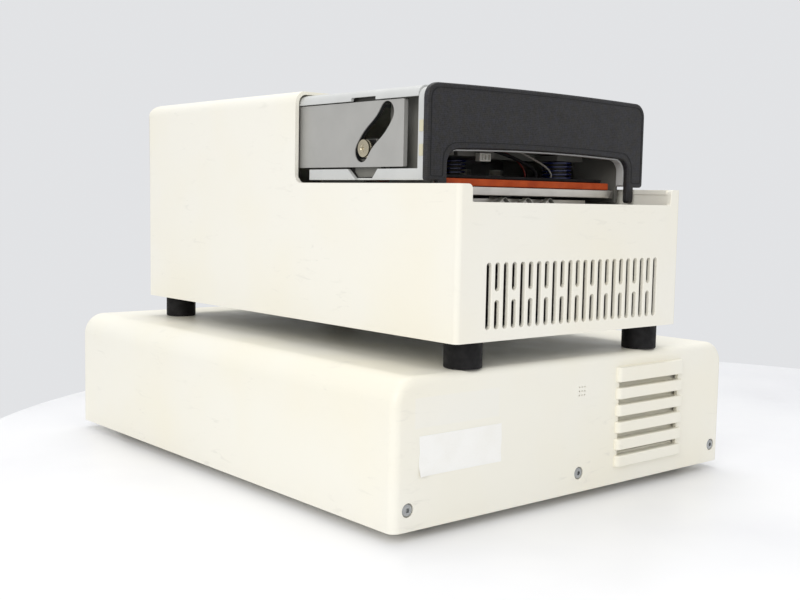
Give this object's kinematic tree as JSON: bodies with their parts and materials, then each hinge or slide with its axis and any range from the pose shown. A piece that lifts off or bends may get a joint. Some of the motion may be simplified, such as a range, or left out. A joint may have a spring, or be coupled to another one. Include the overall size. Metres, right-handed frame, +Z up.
{
  "type": "thermal cycler",
  "caption": "Bench thermal cycler for robot loading: a cycler module with a sliding motor-driven heated lid, standing on its low control unit.",
  "frame": {"origin": "middle of the overall box, on the surface that the control unit's feet stand on", "axes": "+Z up, front towards -Y, +X to the right of someone facing the front"},
  "size_m": [0.308, 0.3976, 0.2596],
  "materials": {
    "cover_cream": "warm white satin paint, fine orange peel, faint scuffs",
    "housing_cream": "warm white satin moulded plastic, very fine grain",
    "bezel_charcoal": "charcoal moulded plastic with a fine mottled film",
    "light_grey_plastic": "light cool grey moulded plastic",
    "cam_grey": "mid grey satin paint on plate",
    "dark_grey": "dark grey satin paint",
    "silicone_orange": "orange-red silicone, matte",
    "rubber_black": "black rubber, matte",
    "plastic_black": "black moulded plastic",
    "aluminium_bare": "bare machined aluminium",
    "steel_zinc": "zinc-plated or brushed sheet steel",
    "nickel": "warm nickel plate, polished",
    "brass_nut": "machined bronze",
    "circuit_green": "green circuit board with solder mask",
    "spring_blue": "blue enamelled spring steel",
    "plastic_white": "white nylon",
    "ceramic_white": "white alumina faces"
  },
  "bodies": {
    "chassis": {"control_cover": "cover_cream", "control_base_tray": "steel_zinc", "control_rear_panel": "light_grey_plastic", "control_power_supply": "steel_zinc", "control_board": "circuit_green", "control_sounder": "plastic_black", "control_fan_frame": "plastic_black", "mains_inlet": "plastic_black", "control_link_socket": "nickel", "data_socket": "nickel", "module_housing": "housing_cream", "module_base_plate": "steel_zinc", "module_rear_panel": "light_grey_plastic", "module_link_socket": "nickel", "chassis_side_left": "steel_zinc", "chassis_side_right": "steel_zinc", "sample_block": "aluminium_bare", "block_frame": "plastic_black", "thermoelectric_layer": "ceramic_white", "heat_sink": "aluminium_bare", "module_fan_frame": "plastic_black", "module_board": "circuit_green", "drive_motor": "plastic_black", "motor_bracket": "steel_zinc", "control_foot_front_left": "rubber_black", "module_foot_front_left": "rubber_black", "control_foot_front_right": "rubber_black", "module_foot_front_right": "rubber_black", "control_foot_rear_left": "rubber_black", "module_foot_rear_left": "rubber_black", "control_foot_rear_right": "rubber_black", "module_foot_rear_right": "rubber_black", "cover_screw_left": "steel_zinc", "cover_screw_middle": "steel_zinc", "cover_screw_right": "steel_zinc"},
    "lid": {"lid_bezel": "bezel_charcoal", "lid_frame": "light_grey_plastic", "lid_top_shell": "light_grey_plastic", "lid_wall_left": "dark_grey", "lid_wall_right": "dark_grey"},
    "cam_slider": {"cam_plate_left": "cam_grey", "cam_plate_right": "cam_grey", "cam_crossbar": "steel_zinc", "drive_nut": "brass_nut"},
    "platen": {"heated_plate": "aluminium_bare", "silicone_pad": "silicone_orange", "backing_plate": "dark_grey", "lift_frame": "cam_grey", "platen_spring_left": "spring_blue", "platen_spring_right": "spring_blue", "platen_spring_rear": "spring_blue", "terminal_block": "plastic_white", "heater_lead": "rubber_black"},
    "cam_roller_left": {"roller_left": "nickel"},
    "cam_roller_right": {"roller_right": "nickel"},
    "drive_screw": {"lead_screw": "steel_zinc"},
    "control_fan": {"control_fan_rotor": "plastic_black"},
    "module_fan": {"module_fan_rotor": "plastic_black"},
    "rocker": {"mains_rocker": "plastic_black"}
  },
  "joints": [
    {"name": "lid_slide", "type": "slide", "parent": "chassis", "child": "lid", "axis": [0, 1, 0], "range_m": [0, 0.115]},
    {"name": "cam_slide", "type": "slide", "parent": "lid", "child": "cam_slider", "axis": [0, 1, 0], "range_m": [0, 0.022]},
    {"name": "platen_lift", "type": "slide", "parent": "lid", "child": "platen", "axis": [0, 0, 1], "range_m": [0, 0.0206]},
    {"name": "roller_left_spin", "type": "hinge", "parent": "platen", "child": "cam_roller_left", "pos_m": [-0.105, -0.10535, 0.2204], "axis": [1, 0, 0], "continuous": true},
    {"name": "roller_right_spin", "type": "hinge", "parent": "platen", "child": "cam_roller_right", "pos_m": [0.083, -0.10535, 0.2204], "axis": [1, 0, 0], "continuous": true},
    {"name": "drive_screw_spin", "type": "hinge", "parent": "chassis", "child": "drive_screw", "pos_m": [0.055, 0.00125, 0.1738], "axis": [0, 1, 0], "range_deg": [0, 1730]},
    {"name": "control_fan_spin", "type": "hinge", "parent": "chassis", "child": "control_fan", "pos_m": [0.09, 0.17875, 0.05], "axis": [0, 1, 0], "continuous": true},
    {"name": "module_fan_spin", "type": "hinge", "parent": "chassis", "child": "module_fan", "pos_m": [-0.011, -0.02675, 0.1515], "axis": [0, 1, 0], "continuous": true},
    {"name": "mains_rocker_tilt", "type": "hinge", "parent": "chassis", "child": "rocker", "pos_m": [-0.0975, 0.19425, 0.0475], "axis": [1, 0, 0], "range_deg": [0, 14]}
  ],
  "couplings": [
    {"joint": "platen_lift", "follows": "cam_slide", "ratio": 0.93636},
    {"joint": "drive_screw_spin", "follows": "lid_slide", "rad_per_m": 261.8}
  ]
}
